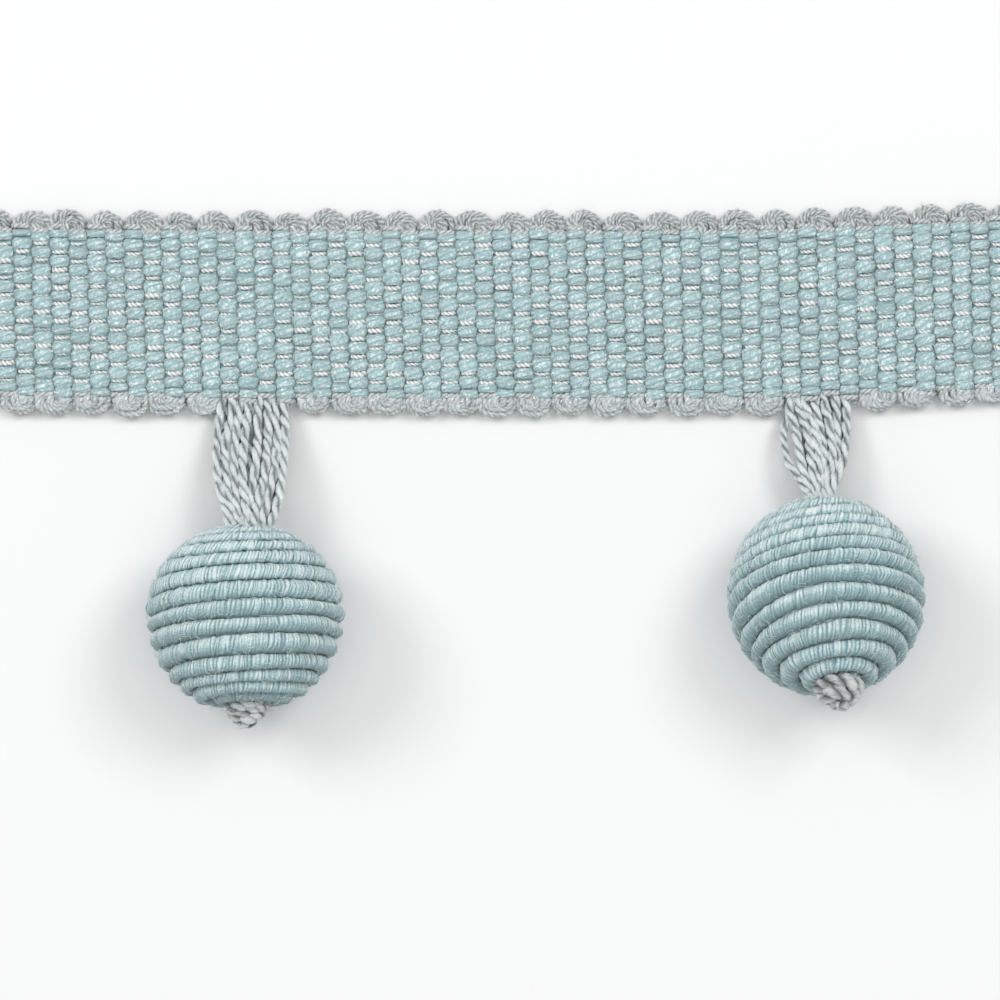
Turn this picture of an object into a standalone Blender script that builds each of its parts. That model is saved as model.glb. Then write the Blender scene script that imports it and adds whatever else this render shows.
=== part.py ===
"""Beaded fringe trim, face up: a ribbed woven tape with a comb of picot loops along each
edge, and two round gimp-wound beads, each hung from a bundle of twisted strands that is
knotted below the bead.

Metres, +Z up. X runs along the tape, +Y points to its plain edge, and the beads hang
towards -Y. Everything lies on the plane z = 0. The origin is the middle of the tape's back.
"""

from collections import namedtuple
from math import cos, pi, radians, sin

import bmesh
import bpy
from mathutils import Matrix, Vector

MM = 0.001
GAP = 0.3 * MM  # left between pieces that touch on the real trim

# Woven tape: thick weft ribs run across it, and each rib is one crest on its face.
LENGTH = 109.5 * MM
RIBS = 60
HEADING_HALF = 7.7 * MM  # half the width of the coloured part
THICKNESS = 2.0 * MM
RIB_DEPTH = 0.3 * MM
SHOULDER = 0.7 * MM  # rounding of the heading's long edges

# Picot combs: a narrow rail along each long edge, with one loop for every two ribs.
RAIL_WIDTH = 0.75 * MM
LOOP_REACH = 2.1 * MM  # from the rail's inner side to a loop's tip
LOOP_HEIGHT = 1.85 * MM
RIBS_PER_LOOP = 2
STEPS_PER_LOOP = 6

# Drops: a strand bundle, a bead and a knot.
BUNDLE_RIBS = 4
STRANDS = 12
STRAND_RELIEF = 0.16 * MM
BUNDLE_LIFT = 1.0 * MM  # height of the bundle's middle where it leaves the tape
BEAD_RADIUS = 9.4 * MM
FLAT_DEPTH = 0.3 * MM  # what each bead loses at its foot, to lie still
GROOVE = 0.3 * MM  # between turns of the gimp that covers a bead
DIMPLE = 1.0 * MM  # at each end of a bead's bore
DIMPLE_ANGLE = radians(12)
BUNDLE_SEAT = 0.2 * MM  # how far the bundle reaches into the upper dimple
KNOT_SEAT = 0.7 * MM  # how far the knot reaches into the lower dimple
KNOT_TURNS = 3
KNOT_GROOVE = 0.2 * MM

# The tape runs nearly straight: how far its middle line lies off the X axis.
Bend = namedtuple("Bend", "along sideways")
BENDS = (
    Bend(-LENGTH / 2, 0.25 * MM),
    Bend(-32.5 * MM, 0.03 * MM),
    Bend(-8.5 * MM, 0.0),
    Bend(20.5 * MM, 0.05 * MM),
    Bend(30.0 * MM, 0.37 * MM),
    Bend(39.5 * MM, 0.78 * MM),
    Bend(LENGTH / 2, 1.3 * MM),
)

# The ribs are packed a little tighter on the left than on the right.
RibLine = namedtuple("RibLine", "rib along")
RIB_LINES = (
    RibLine(0, -LENGTH / 2),
    RibLine(15, -27.9 * MM),
    RibLine(34, 6.1 * MM),
    RibLine(45, 26.8 * MM),
    RibLine(RIBS, LENGTH / 2),
)

# Girths of a strand bundle, from the tape (share 0) to its bead (share 1).
Girth = namedtuple("Girth", "share width thickness")
LONG_BUNDLE = (
    Girth(0.0, 6.8 * MM, 1.6 * MM),
    Girth(0.2, 7.1 * MM, 1.7 * MM),
    Girth(0.4, 7.4 * MM, 1.9 * MM),
    Girth(0.6, 6.9 * MM, 2.1 * MM),
    Girth(0.8, 5.8 * MM, 2.3 * MM),
    Girth(1.0, 4.6 * MM, 2.4 * MM),
)
SHORT_BUNDLE = (
    Girth(0.0, 7.0 * MM, 1.6 * MM),
    Girth(0.2, 7.2 * MM, 1.8 * MM),
    Girth(0.4, 7.0 * MM, 2.0 * MM),
    Girth(0.6, 6.5 * MM, 2.2 * MM),
    Girth(0.8, 5.6 * MM, 2.3 * MM),
    Girth(1.0, 4.5 * MM, 2.4 * MM),
)

# A drop hangs from the middle of four ribs. tilt lifts the bead's lower pole off the
# ground and lean swings it sideways. entry is how far to one side of the bore the bundle
# goes in, and shift is how far the knot sits to one side of it. knot is half the knot's
# size: along the bead's equator, along its bore, and in depth.
Drop = namedtuple("Drop", "side rib bead_x bead_y tilt lean entry shift turns bundle knot")
DROPS = (
    Drop(
        "left", 15, -28.5 * MM, -28.7 * MM, radians(8), radians(1.5),
        1.2 * MM, 0.2 * MM, 13, LONG_BUNDLE, (1.75 * MM, 1.2 * MM, 1.25 * MM),
    ),
    Drop(
        "right", 45, 27.3 * MM, -27.35 * MM, radians(25), radians(5.5),
        0.8 * MM, 0.0, 12, SHORT_BUNDLE, (2.5 * MM, 1.45 * MM, 1.7 * MM),
    ),
)

BEAD_STEPS = 24  # round each turn of a bead's gimp
KNOT_STEPS = 12


def smooth_read(rows, where):
    """The rows' second column at `where` in their first, on a smooth curve through them."""
    last = len(rows) - 1
    i = next((k for k in range(last) if where <= rows[k + 1][0]), last - 1)

    def slope(k):
        low, high = rows[max(k - 1, 0)], rows[min(k + 1, last)]
        return (high[1] - low[1]) / (high[0] - low[0])

    (x0, y0), (x1, y1) = rows[i], rows[i + 1]
    span = x1 - x0
    t = (where - x0) / span
    rise = y1 - y0
    steep0, steep1 = slope(i) * span - rise, rise - slope(i + 1) * span
    return y0 + rise * t + t * (1 - t) * (steep0 * (1 - t) + steep1 * t)


def rib_x(rib):
    return smooth_read(RIB_LINES, rib)


def drift(x):
    return smooth_read(BENDS, x)


def fabric(name, colour, roughness):
    material = bpy.data.materials.new(name)
    material.use_nodes = True
    shader = material.node_tree.nodes["Principled BSDF"]
    shader.inputs["Base Color"].default_value = (*colour, 1.0)
    shader.inputs["Roughness"].default_value = roughness
    shader.inputs["Metallic"].default_value = 0.0
    return material


def add_object(name, shape, look):
    """Makes the bmesh one named, smooth-shaded object with a material of its own."""
    bmesh.ops.recalc_face_normals(shape, faces=shape.faces)
    mesh = bpy.data.meshes.new(name)
    shape.to_mesh(mesh)
    shape.free()
    mesh.shade_smooth()
    mesh.set_sharp_from_angle(angle=radians(50))
    mesh.materials.append(fabric(name, *look))
    piece = bpy.data.objects.new(name, mesh)
    bpy.context.scene.collection.objects.link(piece)
    return piece


def loft(name, rings, look):
    """A closed body through rings with equal numbers of points, capped at both ends."""
    shape = bmesh.new()
    rows = [[shape.verts.new(point) for point in ring] for ring in rings]
    sides = len(rows[0])
    for row, following in zip(rows, rows[1:]):
        for k in range(sides):
            after = (k + 1) % sides
            shape.faces.new((row[k], row[after], following[after], following[k]))
    shape.faces.new(rows[0])
    shape.faces.new(rows[-1])
    return add_object(name, shape, look)


def heading(look):
    """The coloured part of the tape: flat below, with a crest for each rib above."""
    rings = []
    for step in range(2 * RIBS + 1):
        x = rib_x(step / 2)
        top = THICKNESS if step % 2 else THICKNESS - RIB_DEPTH
        half = (
            (HEADING_HALF, 0.0),
            (HEADING_HALF, 0.7 * top),
            (HEADING_HALF - SHOULDER, 0.96 * top),
        )
        section = [(-y, z) for y, z in half] + [(0.0, top)] + list(reversed(half))
        rings.append([(x, drift(x) + y, z) for y, z in section])
    return loft("heading", rings, look)


def picot_comb(name, side, first_rib, bare_ribs, look):
    """The rail and loops of one long edge. side is +1 or -1, first_rib is where a loop
    starts, and no loop is made where a bundle leaves the tape."""
    steps = STEPS_PER_LOOP * RIBS // RIBS_PER_LOOP
    rings = []
    for step in range(steps + 1):
        rib = step * RIBS_PER_LOOP / STEPS_PER_LOOP
        share = ((rib - first_rib) / RIBS_PER_LOOP) % 1.0
        bulge = 0.3 + 0.7 * sin(pi * share) ** 0.6
        if any(low <= rib <= high for low, high in bare_ribs):
            bulge = 0.0
        width = RAIL_WIDTH + (LOOP_REACH - RAIL_WIDTH) * bulge
        height = LOOP_HEIGHT * (0.85 + 0.15 * bulge)
        section = (
            (0.0, 0.0),
            (0.0, 0.75 * height),
            (0.35 * width, height),
            (0.75 * width, 0.86 * height),
            (width, 0.45 * height),
            (0.8 * width, 0.0),
        )
        x = rib_x(rib)
        foot = HEADING_HALF + GAP
        rings.append([(x, drift(x) + side * (foot + y), z) for y, z in section])
    return loft(name, rings, look)


def bead_frame(drop):
    """Bead space to the world: its Z runs down the bore to the knot, its X is sideways."""
    centre = Vector((drop.bead_x, drop.bead_y, BEAD_RADIUS - FLAT_DEPTH))
    down = Matrix.Rotation(radians(90) - drop.tilt, 4, "X")
    return Matrix.Translation(centre) @ Matrix.Rotation(drop.lean, 4, "Z") @ down


def strand_bundle(drop, look):
    """A flattened bundle of strands from the tape's edge to the dimple of its bead."""
    x = rib_x(drop.rib)
    edge = HEADING_HALF + GAP + RAIL_WIDTH + GAP
    start = Vector((x, drift(x) - edge, BUNDLE_LIFT))
    end = bead_frame(drop) @ Vector((drop.entry, 0.0, BUNDLE_SEAT - BEAD_RADIUS))
    rings = []
    for girth in drop.bundle:
        middle = start.lerp(end, girth.share)
        pitch = girth.share * drop.tilt
        up = Vector((0.0, sin(pitch), cos(pitch)))
        ring = []
        for k in range(2 * STRANDS):
            turn = pi * k / STRANDS
            relief = -STRAND_RELIEF if k % 2 else 0.0
            across = (girth.width / 2 + relief) * cos(turn)
            rise = (girth.thickness / 2 + relief) * sin(turn)
            slant = (1 - girth.share) * (drift(x + across) - drift(x))
            ring.append(middle + Vector((across, slant, 0.0)) + up * rise)
        rings.append(ring)
    return loft(f"hanger_{drop.side}", rings, look)


def wound_form(half, turns, groove, steps, dimple):
    """An egg with half sizes (x, y, z) that a cord winds round its Z axis. A valley line
    and a crest line follow the winding, and a point in each dimple closes its end."""
    shape = bmesh.new()
    count = turns * steps

    def line(points, shift, depth):
        """Vertices along the winding, `shift` turns on and `depth` below the crests."""
        made = []
        for j in range(points):
            share = (j + shift * steps) / (count + steps)
            polar = DIMPLE_ANGLE + (pi - 2 * DIMPLE_ANGLE) * share
            turn = 2 * pi * j / steps - pi / 2
            ray = (sin(polar) * cos(turn), sin(polar) * sin(turn), -cos(polar))
            made.append(shape.verts.new([r * (size - depth) for r, size in zip(ray, half)]))
        return made

    valley = line(count + steps + 1, 0.0, groove)
    crest = line(count + 1, 0.5, 0.0)
    for j in range(count):
        shape.faces.new((valley[j], valley[j + 1], crest[j + 1], crest[j]))
        shape.faces.new((crest[j], crest[j + 1], valley[j + 1 + steps], valley[j + steps]))
    rims = (
        valley[: steps + 1] + [crest[0]],
        valley[count:] + [crest[count]],
    )
    for rim, z in zip(rims, (-half[2] + dimple, half[2] - dimple)):
        pole = shape.verts.new((0.0, 0.0, z))
        for one, other in zip(rim, rim[1:] + rim[:1]):
            shape.faces.new((pole, one, other))
    return shape


def bead(drop, look):
    """A round bead covered with turns of gimp, with a small flat foot where it lies."""
    half = (BEAD_RADIUS,) * 3
    shape = wound_form(half, drop.turns, GROOVE, BEAD_STEPS, DIMPLE)
    shape.transform(bead_frame(drop))
    bmesh.ops.bisect_plane(
        shape,
        geom=shape.verts[:] + shape.edges[:] + shape.faces[:],
        dist=1e-7,
        plane_co=(0.0, 0.0, 0.0),
        plane_no=(0.0, 0.0, -1.0),
        clear_outer=True,
    )
    rim = [edge for edge in shape.edges if edge.is_boundary]
    bmesh.ops.holes_fill(shape, edges=rim)
    return add_object(f"bead_{drop.side}", shape, look)


def knot(drop, look):
    """The knot that stops the strands below a bead, seated in the bore's lower dimple."""
    across, along, deep = drop.knot
    shape = wound_form((along, deep, across), KNOT_TURNS, KNOT_GROOVE, KNOT_STEPS, 0.0)
    seat = BEAD_RADIUS - KNOT_SEAT + along
    place = Matrix.Translation((drop.shift, 0.0, seat)) @ Matrix.Rotation(radians(90), 4, "Y")
    shape.transform(bead_frame(drop) @ place)
    return add_object(f"knot_{drop.side}", shape, look)


def main():
    for old in list(bpy.data.objects):
        bpy.data.objects.remove(old)
    # Linear colour, roughness.
    blue_tape = ((0.42, 0.54, 0.56), 0.85)
    grey_yarn = ((0.47, 0.53, 0.53), 0.7)
    bead_gimp = ((0.36, 0.46, 0.48), 0.6)
    half_bundle = BUNDLE_RIBS / 2
    bundles = [(drop.rib - half_bundle, drop.rib + half_bundle) for drop in DROPS]

    heading(blue_tape)
    picot_comb("upper_loops", 1, 0, [], grey_yarn)
    picot_comb("lower_loops", -1, 1, bundles, grey_yarn)
    for drop in DROPS:
        strand_bundle(drop, grey_yarn)
        bead(drop, bead_gimp)
        knot(drop, grey_yarn)


main()
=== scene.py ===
"""Looks of the beaded fringe trim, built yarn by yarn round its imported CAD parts.

The shapes are worked out in millimetres and turned to metres when a mesh is made. X runs
along the tape, +Y is its plain edge, the beads hang towards -Y, and +Z is up.
"""

from collections import namedtuple
from math import pi, radians

import bpy
import numpy as np
from mathutils import Matrix, Vector


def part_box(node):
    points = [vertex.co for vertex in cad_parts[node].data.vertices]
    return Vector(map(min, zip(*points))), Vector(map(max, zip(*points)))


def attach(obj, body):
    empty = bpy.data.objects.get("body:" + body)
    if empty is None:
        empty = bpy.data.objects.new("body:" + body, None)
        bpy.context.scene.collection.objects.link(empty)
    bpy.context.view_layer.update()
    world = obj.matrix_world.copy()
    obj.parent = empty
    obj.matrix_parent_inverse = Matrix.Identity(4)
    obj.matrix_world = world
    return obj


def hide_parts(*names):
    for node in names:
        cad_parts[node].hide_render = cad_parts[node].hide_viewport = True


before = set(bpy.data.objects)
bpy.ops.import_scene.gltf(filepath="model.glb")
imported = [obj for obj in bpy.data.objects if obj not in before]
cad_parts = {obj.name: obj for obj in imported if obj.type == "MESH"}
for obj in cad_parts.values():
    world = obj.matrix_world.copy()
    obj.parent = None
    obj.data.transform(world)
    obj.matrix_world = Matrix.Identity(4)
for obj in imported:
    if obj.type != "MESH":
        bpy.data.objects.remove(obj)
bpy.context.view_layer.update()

MM = 0.001
UP = np.array((0.0, 0.0, 1.0))

# Tape, as its CAD part is drawn.
LENGTH = 109.5
RIBS = 60
THICKNESS = 2.0
Bend = namedtuple("Bend", "along sideways")
BENDS = (
    Bend(-LENGTH / 2, 0.25),
    Bend(-32.5, 0.03),
    Bend(-8.5, 0.0),
    Bend(20.5, 0.05),
    Bend(30.0, 0.37),
    Bend(39.5, 0.78),
    Bend(LENGTH / 2, 1.3),
)
RibLine = namedtuple("RibLine", "rib along")
RIB_LINES = (
    RibLine(0, -LENGTH / 2),
    RibLine(15, -27.75),
    RibLine(34, 6.25),
    RibLine(45, 26.9),
    RibLine(RIBS, LENGTH / 2),
)
RIB_LEAN = 0.027  # how far a rib leans along the tape, for each unit across it

# Weave: a row is one blue end and one silver end that take turns on the face.
ROWS = 17
ROW_PITCH = 0.831
FIRST_ROW = 6.74
MIDDLE = 1.0  # height of the middle of the weave
BLUE_SWING = 0.62  # how far a blue end's line rises above and below the middle
SILVER_SWING = 0.66
BLUE_SHIFT = -0.12  # how far across its row an end moves where it crosses between ribs
SILVER_SHIFT = 0.24
BLUE_HALF = (0.67, 0.4)  # half width and half thickness of a blue end on the face
RIB_JITTER = 0.035  # how far an end's crossing strays from the rib line
FALL_SHARE = 0.82  # of a rib's half width, where an end is back down at the middle
CROSSING_WIDTH = 0.7  # share of its width that a blue end keeps between two ribs
CROSSING_THICKNESS = 0.6  # and of its thickness
BLUE_UNEVEN = 0.11  # how much its width changes from rib to rib
CUT_SPREAD = 0.5  # how far an end is cut long at most
SILVER_RADIUS = 0.25
SILVER_UNEVEN = 0.2
SILVER_PITCH = 0.86  # length of one full turn of its two plies
EDGE_RADIUS = 0.33
EDGE_PITCH = 1.5  # and of its three
SLIM_HALF = (0.46, 0.37)  # half width and half thickness of a blue end beside the edge ends
EDGE_SWING = 0.55

# Ends beyond the first and last row: how far each lies from that row, towards `side`.
EdgeEnd = namedtuple("EdgeEnd", "parity side beyond")
SELVEDGE_ENDS = (
    EdgeEnd(1, 1, 0.72),
    EdgeEnd(0, 1, 1.04),
    EdgeEnd(1, -1, 0.56),
    EdgeEnd(0, -1, 1.05),
)
EDGE_ENDS = (
    EdgeEnd(1, 1, 1.26),
    EdgeEnd(0, 1, 1.7),
    EdgeEnd(1, -1, 1.28),
    EdgeEnd(0, -1, 1.78),
)

# Weft core: half its width, its half thickness between ribs and how much more it is in the
# middle of one, and how many of its sections there are to a rib and points across it.
CORE_HALF_WIDTH = 8.1
CORE_VALLEY = 0.16
CORE_SWELL = 0.3
CORE_SECTIONS = 6
CORE_POINTS = 9

# Plied yarns: how far apart their uneven places lie, how much their turn (in radians) and
# the thickness of their plies (as a share) change there, and how fast the painted shade on a
# ply deepens from its outer side to its inner side. A ply's own twist is a share of theirs.
UNEVEN_STEP = 0.9
UNEVEN_TURN = 0.4
UNEVEN_PLY = 0.12
PLY_FALL = 2.6
PLY_TWIST = -0.8

# Beads.
BEAD_RADIUS = 9.5
DIMPLE = 1.0  # how far the ball under the cord is drawn in at each end of its bore


def smooth_read(rows, where):
    """The rows' second column at `where` in their first, on a smooth curve through them."""
    table = np.array([tuple(row)[:2] for row in rows], float)
    known, value = table[:, 0], table[:, 1]
    last = len(known) - 1
    low = np.maximum(np.arange(last + 1) - 1, 0)
    high = np.minimum(np.arange(last + 1) + 1, last)
    slope = (value[high] - value[low]) / (known[high] - known[low])
    i = np.clip(np.searchsorted(known, where, side="right") - 1, 0, last - 1)
    span = known[i + 1] - known[i]
    t = (where - known[i]) / span
    rise = value[i + 1] - value[i]
    steep0 = slope[i] * span - rise
    steep1 = rise - slope[i + 1] * span
    return value[i] + rise * t + t * (1 - t) * (steep0 * (1 - t) + steep1 * t)


def rib_x(rib, y=0.0):
    """Where a rib line is along the tape, at a distance from the tape's middle line."""
    return smooth_read(RIB_LINES, rib) - RIB_LEAN * y


def drift(x):
    """How far the tape bends sideways at x."""
    return smooth_read(BENDS, x)


def uneven_read(random, knots, where):
    """Random values that spread by 1 round 0, one at each knot, read smoothly at `where`."""
    return smooth_read(np.stack((knots, random.normal(0, 1, len(knots))), 1), where)


# ---------------- yarns and their meshes

# rings is (steps, points, 3); along is each ring's distance down the yarn; crest is how lit a
# point is painted: 1 on the crests of its plies or fibres and on lit sides, 0 in the grooves
# between them and on shaded sides.
Tube = namedtuple("Tube", "rings along crest")


def unit(vectors):
    """The vectors at a length of 1."""
    return vectors / np.linalg.norm(vectors, axis=-1, keepdims=True)


def distance_along(path):
    """How far down the path each of its points is."""
    steps = np.linalg.norm(np.diff(path, axis=0), axis=1)
    return np.concatenate(([0.0], np.cumsum(steps)))


def round_angles(count):
    """The angles of `count` points round a circle."""
    return 2 * pi * np.arange(count) / count


def frames(path, up=UP):
    """Unit vectors across and above a path, at each of its points."""
    tangent = unit(np.gradient(path, axis=0))
    across = unit(np.cross(np.broadcast_to(up, tangent.shape), tangent))
    return across, np.cross(tangent, across)


def even_path(points, step):
    """A smooth path through the points, with a point about every `step`."""
    points = np.asarray(points, float)
    known = distance_along(points)
    count = max(int(known[-1] / step), 4)
    where = np.linspace(0.0, known[-1], count + 1)
    return np.stack(
        [smooth_read(np.stack((known, points[:, axis]), 1), where) for axis in range(3)], 1
    )


def spun(path, half, lobes, per_lobe, relief, twist, start=0.0, up=UP, square=1.0, rough=0.0,
         dark=1.0):
    """A twisted yarn round a path. half is its half width and half height, either fixed or
    one pair for each point; relief is the depth of its grooves as a share of that, dark how
    much painted shade they get, and rough how uneven its surface is."""
    across, above = frames(path, up)
    along = distance_along(path)
    points = lobes * per_lobe
    angle = round_angles(points)
    crest = 0.5 + 0.5 * np.cos(lobes * angle)
    turn = angle[None, :] + (start + twist * along)[:, None]
    half = np.broadcast_to(np.asarray(half, float), (len(path), 2))
    size = 1 - relief * (1 - crest)
    if rough:
        uneven = np.random.default_rng(points * len(path))
        size = size * (1 + rough * uneven.normal(0, 1, (len(path), points)))
    side = np.sign(np.cos(turn)) * np.abs(np.cos(turn)) ** square * half[:, :1] * size
    rise = np.sign(np.sin(turn)) * np.abs(np.sin(turn)) ** square * half[:, 1:] * size
    rings = path[:, None] + side[..., None] * across[:, None] + rise[..., None] * above[:, None]
    return Tube(rings, along, np.broadcast_to(1 - dark * (1 - crest), (len(path), points)))


def plied(path, plies, ply_radius, offset, twist, start=0.0, up=UP, tone=1.0, fall=PLY_FALL):
    """Separate plies that wind unevenly round each other along a path, with painted shade:
    lightest where they face out, darker inwards. tone is how light that is, and fall how fast
    the painted shade deepens inwards."""
    across, above = frames(path, up)
    along = distance_along(path)
    uneven = np.random.default_rng(int(1e6 * start) + len(path))
    knots = np.arange(0.0, along[-1] + 2.0, UNEVEN_STEP)
    turn = start + twist * along
    turn = turn + UNEVEN_TURN * uneven_read(uneven, knots, along)
    tubes = []
    for ply in range(plies):
        angle = (turn + 2 * pi * ply / plies)[:, None]
        line = path + offset * (np.cos(angle) * across + np.sin(angle) * above)
        fat = uneven_read(uneven, knots, along).clip(-2, 2)
        half = ply_radius * (1 + UNEVEN_PLY * fat)[:, None] * np.ones(2)
        tube = spun(
            line, half, lobes=5, per_lobe=2, relief=0.05, twist=PLY_TWIST * twist, up=up,
            rough=0.06,
        )
        reach = np.linalg.norm(tube.rings - path[:, None], axis=2) / (offset + ply_radius)
        tubes.append(tube._replace(crest=tone * reach.clip(0, 1) ** fall))
    return tubes


# The flat layout of a mesh, in shares of its thickest yarn's girth: the height of a row, the
# gap between two yarns in it and the size of a yarn's closed end. Then how much wider than
# the layout its map is.
ROW_HEIGHT = 1.12
YARN_GAP = 0.1
CAP_SIZE = 0.02
MAP_MARGIN = 1.03
YARN_APART = 37.0  # from one yarn's places to the next one's, so that their noise differs


def yarn_places(tube, number, girth):
    """Each point's place within its own yarn, as if that was round and straight."""
    angle = round_angles(tube.rings.shape[1])
    radius = girth / (2 * pi)
    place = np.empty(tube.rings.shape)
    place[..., 0] = radius * np.cos(angle)
    place[..., 1] = radius * np.sin(angle)
    place[..., 2] = tube.along[:, None] + YARN_APART * number
    return place.reshape(-1, 3)


def tube_faces(tube, base):
    """The corners of a tube's sides and of its two closed ends, and how many each has."""
    steps, around = tube.rings.shape[:2]
    grid = base + np.arange(steps * around).reshape(steps, around)
    beside = np.roll(grid, -1, axis=1)
    quads = np.stack((grid[:-1], beside[:-1], beside[1:], grid[1:]), -1)
    corners = np.concatenate((quads.reshape(-1), grid[0][::-1], grid[-1]))
    return corners, np.array([4] * (steps - 1) * around + [around, around])


def unrolled(tube, cursor, girth, row_width, row_height):
    """Where the corners of those faces lie in the flat layout."""
    around = tube.rings.shape[1]
    run = cursor + tube.along
    row = np.floor(run[:-1] / row_width)
    u0 = (run[:-1] - row * row_width)[:, None] + np.zeros(around)
    u1 = u0 + np.diff(run)[:, None]
    v0 = row[:, None] * row_height + girth * np.arange(around) / around
    v1 = v0 + girth / around
    sides = np.stack((u0, v0, u0, v1, u1, v1, u1, v0), -1).reshape(-1, 2)
    angle = round_angles(around)
    wheel = CAP_SIZE * girth * (1.5 + np.stack((np.cos(angle), np.sin(angle)), -1))
    caps = [np.array((u0[ring, 0], v0[ring, 0])) + wheel for ring in (0, -1)]
    return np.concatenate((sides, *caps))


def joined_mesh(name, tubes):
    """One mesh of all the tubes, closed at their ends and pressed flat where they touch the
    ground. The attribute `yarn` holds each point's place within its own yarn, `crest` how lit
    it is painted, from its place between grooves and where light falls, and the UV map lays
    every yarn out flat, in rows."""
    girth = max(
        np.linalg.norm(t.rings - np.roll(t.rings, 1, axis=1), axis=2).sum(1).mean() for t in tubes
    )
    row_height = ROW_HEIGHT * girth
    total = sum(t.along[-1] + girth for t in tubes)
    row_width = max(np.sqrt(total * row_height), max(np.diff(t.along).max() for t in tubes))
    points, places, crests, corners, sizes, flat = [], [], [], [], [], []
    base, cursor = 0, 0.0
    for number, tube in enumerate(tubes):
        points.append(np.maximum(tube.rings, (-np.inf, -np.inf, 0.0)).reshape(-1, 3))
        places.append(yarn_places(tube, number, girth))
        crests.append(tube.crest.reshape(-1))
        tube_corners, tube_sizes = tube_faces(tube, base)
        corners.append(tube_corners)
        sizes.append(tube_sizes)
        flat.append(unrolled(tube, cursor, girth, row_width, row_height))
        base += len(points[-1])
        cursor += tube.along[-1] + YARN_GAP * girth

    points, corners, sizes = (np.concatenate(x) for x in (points, corners, sizes))
    flat = np.concatenate(flat)
    mesh = bpy.data.meshes.new(name)
    mesh.vertices.add(len(points))
    mesh.vertices.foreach_set("co", (points * MM).astype(np.float32).ravel())
    mesh.loops.add(len(corners))
    mesh.loops.foreach_set("vertex_index", corners.astype(np.int32))
    mesh.polygons.add(len(sizes))
    starts = np.concatenate(([0], np.cumsum(sizes)[:-1]))
    mesh.polygons.foreach_set("loop_start", starts.astype(np.int32))
    mesh.update(calc_edges=True)
    mesh.attributes.new("yarn", "FLOAT_VECTOR", "POINT").data.foreach_set(
        "vector", np.concatenate(places).astype(np.float32).ravel()
    )
    mesh.attributes.new("crest", "FLOAT", "POINT").data.foreach_set(
        "value", np.concatenate(crests).astype(np.float32)
    )
    chart = mesh.uv_layers.new(name="OFBake")
    chart.uv.foreach_set("vector", (flat / (MAP_MARGIN * flat.max())).astype(np.float32).ravel())
    mesh.shade_smooth()
    return mesh


def add_piece(name, tubes, look, nodes=()):
    """Puts the tubes in the scene as one piece of the trim."""
    mesh = joined_mesh(name, tubes)
    mesh.materials.append(look)
    piece = bpy.data.objects.new(name, mesh)
    bpy.context.scene.collection.objects.link(piece)
    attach(piece, "root")
    if nodes:
        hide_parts(*nodes)
    return piece


# ---------------- materials


def new_material(name):
    """A material, with its nodes and the shader among them."""
    material = bpy.data.materials.new(name)
    material.use_nodes = True
    return material, material.node_tree, material.node_tree.nodes["Principled BSDF"]


def node(tree, kind, links=(), **values):
    """A new node of this kind with these socket values, and links to its sockets."""
    made = tree.nodes.new("ShaderNode" + kind)
    for name, value in values.items():
        made.inputs[name.replace("_", " ")].default_value = value
    for name, source in links:
        tree.links.new(source, made.inputs[name])
    return made


# Noise within a yarn: how fine it is for each millimetre round it (twice) and along it, its
# detail, the values that are spread to 0 and 1, and how distorted it is.
Noise = namedtuple("Noise", "fine detail low high distortion")
FIBRES = Noise(None, 3.0, 0.38, 0.62, 0.4)  # as fine as the yarn's own fibres
LOOSE = Noise((4.6, 4.6, 4.6), 4.0, 0.4, 0.6, 0.8)  # loose fibres, the same in all directions
SLOW = Noise((0.5, 0.5, 0.6), 2.0, 0.3, 0.7, 0.0)  # slow changes of tone down a yarn


def noise_of(tree, place, form):
    """One of these kinds of noise at a place within a yarn, from 0 to 1."""
    drawn = node(tree, "VectorMath", [(0, place)])
    drawn.operation = "MULTIPLY"
    drawn.inputs[1].default_value = form.fine
    noise = node(
        tree, "TexNoise", [("Vector", drawn.outputs[0])],
        Scale=1.0, Detail=form.detail, Roughness=0.65, Distortion=form.distortion,
    )
    spread = node(
        tree, "MapRange", [("Value", noise.outputs["Fac"])], From_Min=form.low, From_Max=form.high
    )
    return spread.outputs["Result"]


def blend(tree, share, low, high):
    """A colour between two, each a fixed linear colour or a socket."""
    mix = tree.nodes.new("ShaderNodeMix")
    mix.data_type = "RGBA"
    for name, value in (("A", low), ("B", high)):
        if isinstance(value, tuple):
            mix.inputs[name].default_value = (*value, 1.0)
        else:
            tree.links.new(value, mix.inputs[name])
    tree.links.new(share, mix.inputs["Factor"])
    return mix.outputs["Result"]


def arithmetic(tree, operation, one, other):
    """A sum or product of two values, each a number or a socket."""
    made = tree.nodes.new("ShaderNodeMath")
    made.operation = operation
    for place, value in ((0, one), (1, other)):
        if isinstance(value, float):
            made.inputs[place].default_value = value
        else:
            tree.links.new(value, made.inputs[place])
    return made.outputs[0]


# groove, shade and light are linear colours, groove being the painted shade of the grooves
# between its plies and fibres; open is how far up its crest a yarn leaves the groove's colour
# behind; fuzz is the share of loose fibres in its tone, gleam how strong the painted highlight
# on its crests is, bump how far its fibres stand up, shine its specular level and lie how fine
# its fibres are, for each millimetre round it (twice) and along it.
Yarn = namedtuple("Yarn", "groove shade light open fuzz gleam bump roughness shine lie")
ALONG = (15.0, 15.0, 1.1)  # long fibres along a smooth yarn
FUZZY = (5.0, 5.0, 2.2)  # short and tousled ones
ROUND = (0.9, 0.9, 7.5)  # across a cord, as its wraps of thread run
PAINTED_HIGHLIGHT = (0.97, 1.0, 1.0)  # painted highlight, the colour of a crest that gleams
AGED = (0.88, 1.08)  # how light a yarn's darkest and lightest stretches are
GLEAM_CREST = (0.45, 0.9)  # between these places on a crest its painted highlight sets in
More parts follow.
